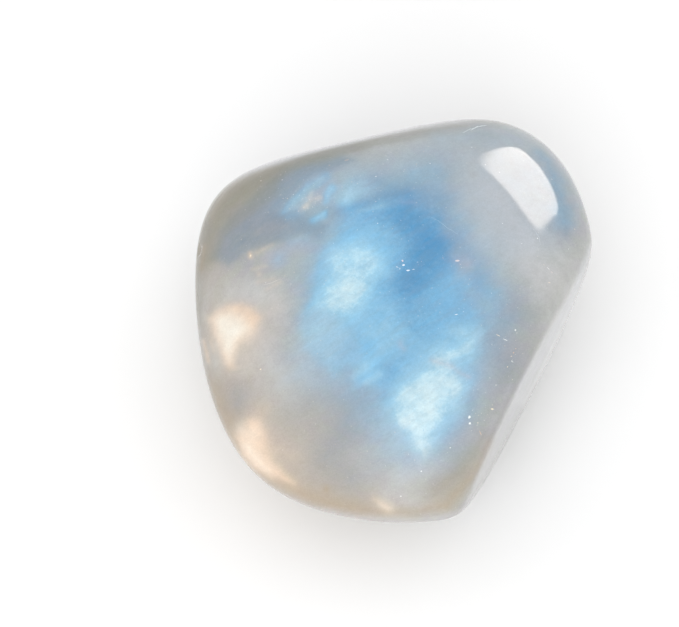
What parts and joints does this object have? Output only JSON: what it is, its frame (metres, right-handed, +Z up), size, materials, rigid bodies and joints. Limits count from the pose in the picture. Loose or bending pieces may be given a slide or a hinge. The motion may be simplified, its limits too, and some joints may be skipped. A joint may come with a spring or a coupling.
{
  "type": "tumbled moonstone pebble",
  "caption": "Tumble-polished moonstone pebble with a blue sheen, one rounded five-sided stone that rests on a small flat spot.",
  "frame": {"origin": "middle of the pebble's bounding box, on the level of the flat spot it rests on", "axes": "+Z up out of the resting surface, +Y along the pebble's greatest extent towards its back, +X to its right"},
  "size_m": [0.028, 0.0314, 0.0162],
  "materials": {
    "moonstone": "polished, milky and translucent, with a blue sheen"
  },
  "bodies": {
    "root": {"moonstone": "moonstone"}
  },
  "joints": []
}
